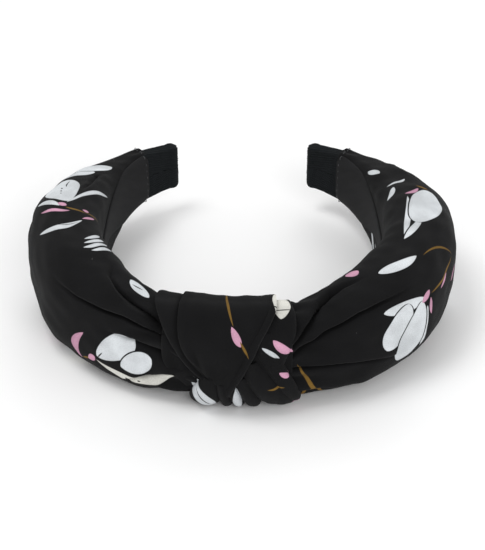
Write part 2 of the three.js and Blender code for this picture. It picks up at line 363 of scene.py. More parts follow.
# A piece of cloth on a skin: layout turns the grid's -1..1 into run and across, and liftAt raises it in mm
def addSheet(name, skin, cells, layout, liftAt, wall, folds=(), merge=False, finer=1):
    bpy.ops.object.select_all(action="DESELECT")
    bpy.ops.mesh.primitive_grid_add(x_subdivisions=cells[0], y_subdivisions=cells[1], size=2)
    piece = bpy.context.object
    piece.name = name
    piece.data.name = name
    mesh = piece.data
    grid = np.empty(len(mesh.vertices) * 3)
    mesh.vertices.foreach_get("co", grid)
    u, v = grid[0::3], grid[1::3]
    run, across = layout(u, v)
    places = skin.lifted(run, across, liftAt(run, across, u, v)) * mm
    places[:, 2] = np.maximum(places[:, 2], cadLow.z)   # cloth lies flat where it meets the table
    mesh.vertices.foreach_set("co", places.ravel())
    corners = np.empty(len(mesh.loops), int)
    mesh.loops.foreach_get("vertex_index", corners)
    flat = np.stack([run[corners], across[corners]], -1)
    mesh.uv_layers.active.data.foreach_set("uv", flat.ravel().astype(np.float32))
    if folds:   # painted shade deep in the folds, darkening the cloth's colour
        shade = sum(crease(run, across, fold, shadeOnly=True) for fold in folds)
        foldShades = mesh.attributes.new("painted fold shade", "FLOAT", "POINT")
        foldShades.data.foreach_set("value", np.clip(shade, 0, 1).astype(np.float32))
    mesh.update()
    area = sum(face.area for face in mesh.polygons)
    bpy.ops.object.shade_smooth()
    if merge:
        bpy.ops.object.mode_set(mode="EDIT")
        bpy.ops.mesh.select_all(action="SELECT")
        bpy.ops.mesh.remove_doubles(threshold=0.00002)
        bpy.ops.mesh.fill_holes(sides=0)
        bpy.ops.mesh.normals_make_consistent(inside=False)
        bpy.ops.object.mode_set(mode="OBJECT")
    if wall:
        thick = piece.modifiers.new("cloth thickness", "SOLIDIFY")
        thick.thickness = wall * mm
        thick.offset = -1
        bpy.ops.object.modifier_apply(modifier=thick.name)
    if finer:
        smoother = piece.modifiers.new("finer cloth", "SUBSURF")
        smoother.levels = smoother.render_levels = finer
        bpy.ops.object.modifier_apply(modifier=smoother.name)
    bpy.ops.object.shade_smooth()
    return piece, area


def bendWith(piece):
    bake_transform(piece)


sides = {"left": -1, "right": 1}


def addSleeve(side, folds, seed, material):
    sign = sides[side]
    first = runAt(sleeve["startAngle"] + sign * band["knotAngle"])
    last = runAt(band["cuffAngle"]) + sleeve["hemOverlap"]

    def layout(u, v):
        run = mix(first, last, (sign * u + 1) / 2) * sign
        return run, v * (sleeveSkin.girth(run) - sleeve["seamGap"])

    def liftAt(run, across, u, v):
        return sleeveLift(run, across, folds, seed)

    name, cells = f"sleeve_{side}", (200, 236)
    piece, area = addSheet(name, sleeveSkin, cells, layout, liftAt, sleeve["wall"], folds, finer=0)
    piece.data.materials.append(material)
    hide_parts(f"sleeve_{side}_neck", f"sleeve_{side}_arm")
    bendWith(piece)


lining = {
    "cuffWidth": 21.0,
    "sideWidth": 7.0,      # all that shows where the sleeve closes over it
    "taperRuns": (112.0, 152.0),
    "thickness": 0.6,
    "startAngle": 12.0,
    "proud": 0.75,
    "edgeDrop": 0.3,
    "endTuck": 1.4,
    "endTuckRun": 2.6,
}


def addLining(side, material):
    sign = sides[side]
    first, last = runAt(lining["startAngle"]), runAt(band["cuffAngle"]) + 1

    def layout(u, v):   # the strip straddles the inner middle
        run = mix(first, last, (sign * u + 1) / 2) * sign
        girth = sleeveSkin.girth(run)
        width = mix(lining["sideWidth"], lining["cuffWidth"], smooth(np.abs(run), *lining["taperRuns"]))
        return run, girth + v * width / 2

    def liftAt(run, across, u, v):
        tuck = lining["endTuck"] * smooth(np.abs(run), last - lining["endTuckRun"], last)
        return lining["proud"] - lining["edgeDrop"] * np.abs(v) ** 4 - tuck

    piece, area = addSheet(f"lining_{side}", sleeveSkin, (100, 10), layout, liftAt, lining["thickness"])
    piece.data.materials.append(material)
    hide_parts(f"lining_{side}_neck", f"lining_{side}_arm")
    bendWith(piece)


knot = {
    "thickness": 18.0,
    "height": 37.0,
    "shift": -0.8,
    "flareAngles": (12.0, 28.0),   # degrees from its middle, where it widens to meet the sleeve
    "flareThickness": 3.0,
    "flareShift": 1.5,
    "wall": 0.5,
    "topCloseness": 0.85,          # share of a band's lift lost over the top and behind
    "topRange": (14.0, 26.0),
    "lowCloseness": 0.5,
    "lowRange": (18.0, 30.0),
    "rumple": 0.22,
    "rumpleSize": 11.0,
    "rumpleStretch": (2.2, 0.5),   # across the band and along it
    "leastFlat": 10.0,             # mm
    "flatMargins": (2.0, 3.0),     # mm added to the width and the length as laid flat
}


def knotSize(run):
    flare = smooth(np.abs(angleAt(run) - band["knotAngle"]), *knot["flareAngles"])
    thickness = knot["thickness"] + knot["flareThickness"] * flare
    level = np.zeros(len(run))
    return thickness, level + knot["height"], flare * knot["flareShift"] + knot["shift"], level


knotSkin = Skin(padOutline, knotSize)

# Each band of the knot: its left and right edges at heights down the knot's skin, as (across, left, right)
# in mm, with the lift of its edges and of its middle, and how flat it is (2 is a roll and 7 a flat band)
knotBands = {
    "knot_front_wrap": {
        "rows": [
            (44, -22, 11.2), (27, -21.9, 11.4), (20, -21, 10), (15, -20.2, 7.4), (9.4, -19.3, 4.6),
            (3.7, -17, 2.2), (-1.2, -13.2, -0.2), (-5, -9.8, -1.6), (-8.1, -6.4, -2.6), (-11.5, -5.2, -3.2),
        ],
        "edge": 0.8, "middle": 2.3, "flatness": 7,
        "folds": [folded([(-12, -3), (-13, 1), (-15, 9)], depth=0.8, width=1.2, ledge=0.0)],
    },
    "knot_side_band": {
        "rows": [
            (44, -31.5, -18), (25, -31.2, -18), (15.6, -26.4, -17), (5.6, -21.3, -14), (0, -18.1, -11),
            (-4.4, -14.1, -8), (-7.5, -10.9, -6), (-11, -8, -4.5),
        ],
        "edge": -0.8, "middle": 1.2, "flatness": 5,
        "folds": [
            folded([(-12, -4), (-17, 2.6), (-19.6, 9), (-20.6, 15), (-21.6, 24), (-22, 44)],
                   depth=0.5, width=0.7, ledge=0),
        ],
    },
    "knot_rolled_hem": {
        "rows": [
            (44, 9.8, 12.4), (27, 9.8, 12.4), (19, 8.0, 10.6), (15, 5.6, 8.3), (11.2, 3.2, 6.0),
            (5.6, 0.9, 3.7), (0, -1.4, 1.4), (-3.1, -2.5, 0.2), (-8.1, -4.9, -2.5), (-11, -5.3, -3.5),
        ],
        "edge": 0.9, "middle": 3.0, "flatness": 2.4, "folds": [],
    },
    "knot_under_wrap": {
        "rows": [
            (44, 9, 17.5), (26, 9, 17.5), (18, 7.5, 17), (10, 3.5, 15.8), (4, 0.5, 14), (-2, -2, 12),
            (-8, -4, 10),
        ],
        "edge": -1.6, "middle": 0.9, "flatness": 4, "folds": [],
    },
    "knot_under_strip": {
        "rows": [
            (13, 5, 9.5), (7.5, 3.6, 9.6), (-0.6, 6.2, 12.6), (-8.1, 10, 15.8), (-18.7, 14.2, 19.2),
            (-30, 15.5, 19.5), (-40, 15, 18.5),
        ],
        "edge": -1.3, "middle": 1.5, "flatness": 4, "folds": [],
    },
    "knot_back_strap": {
        "rows": [(70, -17, 11), (60, -15.5, 10), (52, -15, 9.5), (44, -15.5, 10), (36, -17, 11)],
        "edge": 0.2, "middle": 1.3, "flatness": 6, "folds": [],
    },
}
pleats = [   # rows as above, from the left
    [(-4, -11.4, -7.4), (-8, -13.8, -7), (-13, -16.2, -6.8), (-19, -18, -6.6), (-30, -18.2, -6.6),
     (-42, -17, -6.6)],
    [(-6, -8, -4.6), (-10, -8, -4.0), (-19, -7.4, -2.6), (-30, -7.4, -2.6), (-42, -7.2, -2.6)],
    [(-6.5, -5.5, -2.4), (-12, -4.5, -0.8), (-19, -3.4, 1.1), (-30, -3.4, 1.1), (-42, -3.4, 1.1)],
    [(-3.5, -2.7, 1.2), (-8, -2.4, 3), (-13, -1, 5), (-19, 0.5, 6.6), (-30, 0.5, 6.6), (-42, 0.5, 6.2)],
    [(3, -0.5, 4.6), (-4, 0, 8.8), (-9, 1.8, 12.4), (-14, 4, 15.8), (-19, 6, 18.9), (-30, 6, 18.9),
     (-42, 6, 16)],
]
pleat = {"edge": -1.2, "middle": 2.5, "flatness": 2.3}
pleatsFlat = 52.0, 44.0   # mm


def flowing(rows, t):   # a smooth run through the rows
    rows = np.array(rows, float)
    steps = np.concatenate([[0], np.cumsum(np.abs(np.diff(rows[:, 0])))])
    slopes = np.gradient(rows, steps, axis=0)
    place = t * steps[-1]
    k = np.clip(np.searchsorted(steps, place) - 1, 0, len(rows) - 2)
    length = (steps[k + 1] - steps[k])[:, None]
    f = (place - steps[k])[:, None] / length
    pull = f * (1 - f) * length
    return mix(rows[k], rows[k + 1], f * f * (3 - 2 * f)) + pull * ((1 - f) * slopes[k] - f * slopes[k + 1])


def addBand(name, rows, edge, middle, flatness, folds=(), seed=1):
    def layout(u, v):
        across, left, right = flowing(rows, (u + 1) / 2).T
        return mix(left, right, (np.sin(v * math.pi / 2) + 1) / 2), across

    def liftAt(run, across, u, v):
        crown = np.sqrt(1 - np.abs(np.sin(v * math.pi / 2)) ** flatness)
        atTop = knot["topCloseness"] * smooth(across, *knot["topRange"])
        below = knot["lowCloseness"] * smooth(-across, *knot["lowRange"])
        lift = edge + (middle - edge) * crown * (1 - atTop - below)
        lift = lift + sum(crease(run, across, fold) for fold in folds)
        wide, long = knot["rumpleStretch"]
        return lift + crown * knot["rumple"] * ripple(run * wide, across * long, knot["rumpleSize"], seed)

    return addSheet(name, knotSkin, (44, 26), layout, liftAt, knot["wall"], folds)


def finishKnotPiece(piece, area, width, length, held, material, restsOn):
    piece.data.materials.append(material)
    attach(piece, "crown")


bunch = {
    "right": 15.0,           # mm along the band from the front
    "topLeft": -25.0,
    "lowLeft": -16.0,        # the lower left is left open for the sleeve
    "leftRange": (-2.0, 18.0),   # mm up the face, from the one to the other
    "leftRise": 0.35,
    "girthRun": -5.0,
    "lift": -1.4,
    "rippleDepth": 0.25,
    "ripplePitch": 5.0,
    "seamGap": 0.1,
    "flat": (104.0, 41.0),
}


def addBunch(material):
    def layout(u, v):
        raised = (v + bunch["leftRise"]) * knotSkin.girth(np.full(len(v), bunch["girthRun"]))
        left = mix(bunch["lowLeft"], bunch["topLeft"], smooth(raised, *bunch["leftRange"]))
        run = mix(left, bunch["right"], (u + 1) / 2)
        return run, v * (knotSkin.girth(run) - bunch["seamGap"])

    def liftAt(run, across, u, v):
        return bunch["lift"] + bunch["rippleDepth"] * np.sin(2 * math.pi * run / bunch["ripplePitch"])

    piece, area = addSheet("knot_bunch_cloth", knotSkin, (40, 60), layout, liftAt, knot["wall"])
    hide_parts("knot_bunch")
    finishKnotPiece(piece, area, *bunch["flat"], "gathered", material, ["core_crown"])


def addKnotBands(material):
    for seed, (name, shape) in enumerate(knotBands.items()):
        piece, area = addBand(name + "_cloth", **shape, seed=seed)
        if name != "knot_under_strip":
            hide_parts(name)
        rows = np.array(shape["rows"])
        width = max(knot["leastFlat"], (rows[:, 2] - rows[:, 1]).max() + knot["flatMargins"][0])
        length = np.ptp(rows[:, 0]) + knot["flatMargins"][1]
        finishKnotPiece(piece, area, width, length, "folded", material, ["knot_bunch_cloth"])


def addPleats(material):
    made = [addBand(f"pleat_{i}", rows, **pleat, seed=20 + i) for i, rows in enumerate(pleats)]
    bpy.ops.object.select_all(action="DESELECT")
    for piece, area in made:
        piece.select_set(True)
    fan = made[0][0]
    bpy.context.view_layer.objects.active = fan
    bpy.ops.object.join()
    fan.name = "knot_pleats_cloth"
    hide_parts("knot_pleats")
    total = sum(area for piece, area in made)
    finishKnotPiece(fan, total, *pleatsFlat, "folded", material, ["knot_bunch_cloth"])


tip = {
    "thickness": 4.6,
    "endHeight": 17.4,
    "heightGain": 36.0,    # mm from the tip to the front, at the same slope
    "endRound": 1.6,
    "endSquash": 0.8,
    "endClosed": 0.985,
    "shift": -1.2,
    "ribPitch": 1.0,
    "ribDepth": 0.2,
    "hem": 3.5,
    "hemStep": 0.35,
    "fray": 0.06,
    "seamGap": 0.02,
    "wall": 0.5,
    "startAngle": 140.0,
    "flatWidth": 46.0,
}
thread = {
    "thickness": 0.24,
    "looseThickness": 0.22,
    "pitch": 2.8,
    "waveDepth": 0.5,      # how far it rises and dips as it goes in and out of the cloth
    "proud": 0.1,
    "wander": 0.25,        # mm to each side of a straight row
    "setBack": 1.6,        # mm from the cuff
}


def tipSize(run):   # closes at the tip's folded end
    end = runAt(band["tipAngle"])
    closing = 1 - np.clip((np.abs(run) - end + tip["endRound"]) / tip["endRound"], 0, tip["endClosed"]) ** 2
    along = np.abs(angleAt(run)) / band["tipAngle"]
    height = tip["endHeight"] + tip["heightGain"] * (1 - along) - tip["endSquash"] * (1 - closing)
    level = np.zeros(len(run))
    return tip["thickness"] * np.sqrt(closing), height, level + tip["shift"], level


tipSkin = Skin(ribbonOutline, tipSize)


def addTip(side, material):
    sign = sides[side]
    first, last = runAt(tip["startAngle"]), runAt(band["tipAngle"])

    def layout(u, v):
        run = mix(first, last, (sign * u + 1) / 2) * sign
        return run, v * (tipSkin.girth(run) - tip["seamGap"])

    def liftAt(run, across, u, v):
        hemEdge = last - tip["hem"]
        hem = tip["hemStep"] * smooth(np.abs(run), hemEdge - 0.3, hemEdge + 0.1)
        fray = tip["fray"] * ripple(run, across, 1.6, 7) * smooth(np.abs(run), last - 1.2, last)
        return tip["ribDepth"] * np.cos(2 * math.pi * across / tip["ribPitch"]) + hem + fray

    piece, area = addSheet(f"tip_grosgrain_{side}", tipSkin, (22, 200), layout, liftAt, tip["wall"])
    piece.data.materials.append(material)
    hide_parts(f"tip_ribbon_{side}")
    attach(piece, f"{side}_arm")


def addThread(name, places, side, thickness):   # places in the row frame, in mm
    bpy.ops.object.select_all(action="DESELECT")
    bpy.ops.curve.primitive_nurbs_path_add()
    piece = bpy.context.object
    piece.name = name
    curve = piece.data
    curve.splines.clear()
    line = curve.splines.new("POLY")
    line.points.add(len(places) - 1)
    for point, place in zip(line.points, places):
        point.co = (*(place * mm), 1)
    curve.bevel_depth = thickness * mm / 2
    curve.bevel_resolution = 2
    curve.use_fill_caps = True
    bpy.ops.object.convert(target="MESH")
    bpy.ops.object.shade_smooth()
    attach(piece, f"{side}_arm")
    return piece


def addStitches(side, folds, seed, material):
    sign = sides[side]
    run = sign * (runAt(band["cuffAngle"]) - thread["setBack"])
    girth = float(sleeveSkin.girth(np.array([run]))[0])
    across = np.linspace(-girth, girth, 420)
    runs = run + thread["wander"] * ripple(across, np.zeros(len(across)), 8, seed + 5)
    waving = thread["waveDepth"] * np.sin(2 * math.pi * across / thread["pitch"])
    lift = sleeveLift(runs, across, folds, seed) + waving + thread["proud"]
    places = sleeveSkin.lifted(runs, across, lift)
    piece = addThread(f"tip_stitching_{side}", places, side, thread["thickness"])
    piece.data.materials.append(material)
    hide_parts(f"tip_stitches_{side}")


looseEnd = [   # run back from the cuff, across, and lift, in mm
    (1.6, 9, 0.2), (0.2, 8, 1.6), (-2.2, 5, 2.0), (-2.8, 1, 1.6), (-0.8, -1.5, 1.9), (1.4, 0, 1.5),
    (1.0, 3.5, 1.2), (-0.8, 5.5, 1.5), (-3.4, 6.5, 1.4),
]


def addLooseEnd(material):
    rows = np.array(looseEnd, float)
    t = np.linspace(0, len(rows) - 1, 90)
    k = np.minimum(t.astype(int), len(rows) - 2)
    slopes = np.gradient(rows, axis=0)
    f = (t - k)[:, None]
    flow = mix(rows[k], rows[k + 1], f * f * (3 - 2 * f))
    flow = flow + f * (1 - f) * ((1 - f) * slopes[k] - f * slopes[k + 1])
    run = -runAt(band["cuffAngle"]) + flow[:, 0]
    places = sleeveSkin.lifted(run, flow[:, 1], flow[:, 2])
    piece = addThread("loose_thread", places, "left", thread["looseThickness"])
    piece.data.materials.append(material)


foam = {
    "underCloth": 2.4,
    "underFolds": 3.8,      # more room under the deep folds beside the knot
    "foldReach": 26.0,
    "foldHeightShare": 1.4,
    "leastThickness": 1.0,
    "overCore": 4.6,
    "heightMargin": 8.0,
    "cutGap": 0.2,          # mm from the cut at the knot's middle
    "endAngle": 133.0,
    "leanShare": 0.8,
    "rumple": 0.12,
    "rumpleSize": 6.0,
}


def foamSize(run):
    thickness, height, shift, lean = sleeveSize(run)
    fromKnot = np.abs(run - runAt(band["knotAngle"])) - sleeve["knotReach"]
    room = foam["underFolds"] * np.exp(-((fromKnot - sleeve["sagPlace"]) / foam["foldReach"]) ** 2)
    inner = shift - thickness / 2 + foam["overCore"]
    outer = shift + thickness / 2 - foam["underCloth"] - room
    outer = np.maximum(outer, inner + foam["leastThickness"])
    height = height - foam["heightMargin"] - foam["foldHeightShare"] * room
    return outer - inner, height, (outer + inner) / 2, lean * foam["leanShare"]


foamSkin = Skin(padOutline, foamSize)


def addFoam(side, material, nodes):
    sign = sides[side]
    first, last = runAt(band["knotAngle"]) * sign + foam["cutGap"], runAt(foam["endAngle"])

    def layout(u, v):
        run = mix(first, last, (sign * u + 1) / 2) * sign
        return run, v * foamSkin.girth(run)

    def liftAt(run, across, u, v):
        return foam["rumple"] * ripple(run, across, foam["rumpleSize"], 40)

    piece, area = addSheet(f"foam_{side}", foamSkin, (50, 40), layout, liftAt, 0, merge=True)
    piece.data.materials.append(material)
    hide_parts(*nodes)
    bendWith(piece)


def ink(red, green, blue):   # screen values to linear
    return tuple(((c / 255 + 0.055) / 1.055) ** 2.4 for c in (red, green, blue)) + (1.0,)


inks = {
    "black": ink(16, 16, 17),
    "line": ink(12, 12, 13),
    "white": ink(204, 208, 211),
    "cream": ink(210, 209, 202),
    "pink": ink(202, 152, 176),
    "ochre": ink(120, 92, 42),
}


def addNode(tree, kind, inputs=None, **settings):
    node = tree.nodes.new(kind)
    for name, value in settings.items():
        setattr(node, name, value)
    for name, value in (inputs or {}).items():
        if isinstance(value, bpy.types.NodeSocket):
            tree.links.new(value, node.inputs[name])
        else:
            node.inputs[name].default_value = value
    return node


def calc(tree, operation, *values, clamp=False):
    inputs = dict(enumerate(values))
    return addNode(tree, "ShaderNodeMath", inputs, operation=operation, use_clamp=clamp).outputs[0]


def ramp(tree, value, low, high, start=0.0, end=1.0):
    inputs = {"Value": value, "From Min": low, "From Max": high, "To Min": start, "To Max": end}
    return addNode(tree, "ShaderNodeMapRange", inputs, interpolation_type="SMOOTHSTEP").outputs[0]


def scaleColour(tree, colour, amount):
    return addNode(tree, "ShaderNodeVectorMath", {0: colour, "Scale": amount}, operation="SCALE").outputs[0]


def blendColour(tree, factor, under, over):
    return addNode(tree, "ShaderNodeMix", {0: factor, 6: under, 7: over}, data_type="RGBA").outputs[2]


def newGroup(name, ins, outs):   # ins and outs are name: kind of socket
    tree = bpy.data.node_groups.new(name, "ShaderNodeTree")
    for sockets, way in ((ins, "INPUT"), (outs, "OUTPUT")):
        for socket, kind in sockets.items():
            tree.interface.new_socket(socket, in_out=way, socket_type=kind)
    return tree, tree.nodes.new("NodeGroupInput").outputs, tree.nodes.new("NodeGroupOutput").inputs


floatKind, vectorKind, colourKind = "NodeSocketFloat", "NodeSocketVector", "NodeSocketColor"


petalPrint = {"softEdge": 0.16, "lineEdge": 0.15, "rimWidth": 1.6, "rimShade": 0.86}   # widths in mm


# One printed petal, leaf or stem over the colour under it, with its sizes in mm on the cloth
def makePetalGroup():
    ins = {
        "Under": colourKind, "Place": vectorKind, "Centre": vectorKind, "Turn": floatKind,
        "Length": floatKind, "Width": floatKind, "Bend": floatKind, "Point": floatKind,
        "Slimness": floatKind, "Ink": colourKind, "Line": colourKind, "Line width": floatKind,
    }
    tree, given, result = newGroup("printed petal", ins, {"Colour": colourKind, "Place": vectorKind})
    ends = {0: given["Place"], 1: given["Centre"]}
    offset = addNode(tree, "ShaderNodeVectorMath", ends, operation="SUBTRACT")
    turn = {"Vector": offset.outputs[0], "Angle": calc(tree, "MULTIPLY", given["Turn"], -1.0)}
    turned = addNode(tree, "ShaderNodeVectorRotate", turn, rotation_type="Z_AXIS")
    local = addNode(tree, "ShaderNodeSeparateXYZ", {0: turned.outputs[0]}).outputs
    x = calc(tree, "DIVIDE", local[0], given["Length"])
    square = calc(tree, "MULTIPLY", x, x)
    bent = calc(tree, "SUBTRACT", local[1], calc(tree, "MULTIPLY", square, given["Bend"]))
    away = calc(tree, "ABSOLUTE", bent)
    room = calc(tree, "POWER", calc(tree, "SUBTRACT", 1.0, square, clamp=True), given["Slimness"])
    room = calc(tree, "MULTIPLY", room, calc(tree, "MULTIPLY_ADD", x, given["Point"], 1.0))
    inside = calc(tree, "SUBTRACT", calc(tree, "MULTIPLY", room, given["Width"]), away)
    fill = ramp(tree, inside, 0.0, petalPrint["softEdge"])
    lineEnd = calc(tree, "ADD", given["Line width"], petalPrint["lineEdge"])
    line = ramp(tree, inside, given["Line width"], lineEnd, 1.0, 0.0)
    shade = ramp(tree, inside, 0.0, petalPrint["rimWidth"], petalPrint["rimShade"], 1.0)
    shaded = scaleColour(tree, given["Ink"], shade)
    hasLine = ramp(tree, given["Line width"], 0.0, 0.1)
    outlined = blendColour(tree, calc(tree, "MULTIPLY", line, hasLine), shaded, given["Line"])
    printed = blendColour(tree, fill, given["Under"], outlined)
    tree.links.new(printed, result["Colour"])
    # The place goes on to the next petal through this one, so that they are worked out one after another
    nothing = 1e-7   # too small a move to see
    inOrder = {0: printed, 1: (nothing, nothing, nothing), 2: given["Place"]}
    moved = addNode(tree, "ShaderNodeVectorMath", inOrder, operation="MULTIPLY_ADD")
    tree.links.new(moved.outputs[0], result["Place"])
    return tree


crepe = {
    "grainScale": 2.6,       # per mm
    "cloudScale": 0.09,
    "weaveScale": 1.1,
    "grainShare": 1.4,
    "bump": 0.00012,         # m
    "lintScale": 0.16,
    "lintRarity": 0.72,
    "lintStrength": 0.6,
    "lintColour": ink(175, 175, 175),
}


# Crepe: worn colour, weave bump and lint, with Place in mm on the cloth
def makeClothGroup():
    ins = {"Colour": colourKind, "Place": vectorKind}
    tree, given, result = newGroup("crepe cloth", ins, {"Colour": colourKind, "Normal": vectorKind})
    grainLook = {"Vector": given["Place"], "Scale": crepe["grainScale"], "Detail": 4.0, "Roughness": 0.7}
    grain = addNode(tree, "ShaderNodeTexNoise", grainLook)
    cloudLook = {"Vector": given["Place"], "Scale": crepe["cloudScale"], "Detail": 3.0}
    cloud = addNode(tree, "ShaderNodeTexNoise", cloudLook)
    weaveLook = {"Vector": given["Place"], "Scale": crepe["weaveScale"], "Distortion": 1.2}
    warp = addNode(tree, "ShaderNodeTexWave", weaveLook, bands_direction="X")
    weft = addNode(tree, "ShaderNodeTexWave", weaveLook, bands_direction="Y")
    weave = calc(tree, "MULTIPLY", warp.outputs["Fac"], weft.outputs["Fac"])
    height = calc(tree, "MULTIPLY_ADD", grain.outputs["Fac"], crepe["grainShare"], weave)
    bump = addNode(tree, "ShaderNodeBump", {"Height": height, "Strength": 0.35, "Distance": crepe["bump"]})
    worn = ramp(tree, cloud.outputs["Fac"], 0.3, 0.7, 0.86, 1.14)
    speckle = ramp(tree, grain.outputs["Fac"], 0.35, 0.65, 0.9, 1.1)
    toned = scaleColour(tree, given["Colour"], calc(tree, "MULTIPLY", worn, speckle))
    dotLook = {"Vector": given["Place"], "Scale": crepe["lintScale"], "Randomness": 1.0}
    dots = addNode(tree, "ShaderNodeTexVoronoi", dotLook)
    chance = addNode(tree, "ShaderNodeSeparateXYZ", {0: dots.outputs["Color"]}).outputs[0]
    rare = calc(tree, "GREATER_THAN", chance, crepe["lintRarity"])
    lint = calc(tree, "MULTIPLY", ramp(tree, dots.outputs["Distance"], 0.018, 0.034, 1.0, 0.0), rare)
    linty = blendColour(tree, calc(tree, "MULTIPLY", lint, crepe["lintStrength"]), toned, crepe["lintColour"])
    tree.links.new(linty, result["Colour"])
    tree.links.new(bump.outputs[0], result["Normal"])
    return tree


def startMaterial(name, roughness):
    material = bpy.data.materials.new(name)
    material.use_nodes = True
    tree = material.node_tree
    surface = tree.nodes["Principled BSDF"]
    surface.inputs["Roughness"].default_value = roughness
    return material, tree, surface


printedCloth = {
    "roughness": 0.86,
    "sheen": 0.03,
    "gloss": 0.1,
    # how far the painted shade darkens the cloth's colour deep in the folds
    "paintedFoldShade": 0.72,
    "outlinedWidth": 1.4,    # mm, the half width above which a pale petal has an outline
    "outline": 0.5,          # mm
    "outlinedSlimness": 0.5,
    "plainSlimness": 0.7,
}


def makePrint(name, petals, cloth, printed):
    material, tree, surface = startMaterial(name, printedCloth["roughness"])
    place = addNode(tree, "ShaderNodeUVMap").outputs[0]
    colour = addNode(tree, "ShaderNodeRGB").outputs[0]
    colour.default_value = inks["black"]
    for run, across, turn, length, width, bend, point, inkName in petals:
        lined = inkName in ("white", "cream") and width > printedCloth["outlinedWidth"]
        slimness = printedCloth["outlinedSlimness" if lined else "plainSlimness"]
        petal = addNode(tree, "ShaderNodeGroup", node_tree=printed)
        values = {
            "Centre": (run, across, 0), "Turn": math.radians(turn), "Length": length, "Width": width,
            "Bend": bend, "Point": point, "Slimness": slimness, "Ink": inks[inkName],
            "Line": inks["line"], "Line width": printedCloth["outline"] if lined else 0.0,
        }
        for socket, value in values.items():
            petal.inputs[socket].default_value = value
        tree.links.new(colour, petal.inputs["Under"])
        tree.links.new(place, petal.inputs["Place"])
        colour, place = petal.outputs["Colour"], petal.outputs["Place"]
    finish = addNode(tree, "ShaderNodeGroup", node_tree=cloth)
    # Painted shade: the cloth's colour is darkened along the folds by the fold shade attribute
    depth = addNode(tree, "ShaderNodeAttribute", attribute_name="painted fold shade").outputs["Fac"]
    light = calc(tree, "MULTIPLY_ADD", depth, -printedCloth["paintedFoldShade"], 1.0)
    tree.links.new(scaleColour(tree, colour, light), finish.inputs["Colour"])
    tree.links.new(place, finish.inputs["Place"])
    tree.links.new(finish.outputs["Colour"], surface.inputs["Base Color"])
    tree.links.new(finish.outputs["Normal"], surface.inputs["Normal"])
    surface.inputs["Sheen Weight"].default_value = printedCloth["sheen"]
    surface.inputs["Sheen Roughness"].default_value = 0.5
    surface.inputs["Specular IOR Level"].default_value = printedCloth["gloss"]
    return material


# A plain finish: scale is the grain's, depth its bump in mm, and change the share that its tone varies by
def makePlain(name, colour, roughness, scale, depth, change, place="Object", stretch=(1, 1, 1), shine=0.15):
    material, tree, surface = startMaterial(name, roughness)
    where = addNode(tree, "ShaderNodeTexCoord").outputs[place]
    stretched = addNode(tree, "ShaderNodeVectorMath", {0: where, 1: stretch}, operation="MULTIPLY").outputs[0]
    grainLook = {"Vector": stretched, "Scale": scale, "Detail": 5.0, "Roughness": 0.65}
    grain = addNode(tree, "ShaderNodeTexNoise", grainLook)
    cloud = addNode(tree, "ShaderNodeTexNoise", {"Vector": stretched, "Scale": scale / 20, "Detail": 2.0})
    bumpLook = {"Height": grain.outputs["Fac"], "Strength": 0.4, "Distance": depth * mm}
    bump = addNode(tree, "ShaderNodeBump", bumpLook)
    toned = scaleColour(tree, colour[:3], ramp(tree, cloud.outputs["Fac"], 0.3, 0.7, 1 - change, 1 + change))
    rough = ramp(tree, grain.outputs["Fac"], 0.3, 0.7, roughness - 0.05, min(1.0, roughness + 0.08))
    surface.inputs["Specular IOR Level"].default_value = shine
    tree.links.new(toned, surface.inputs["Base Color"])
    tree.links.new(rough, surface.inputs["Roughness"])
    tree.links.new(bump.outputs[0], surface.inputs["Normal"])
    return material


# Prints: (run, across, turn, half length, half width, bend, point, ink), in mm and degrees on the flat cloth

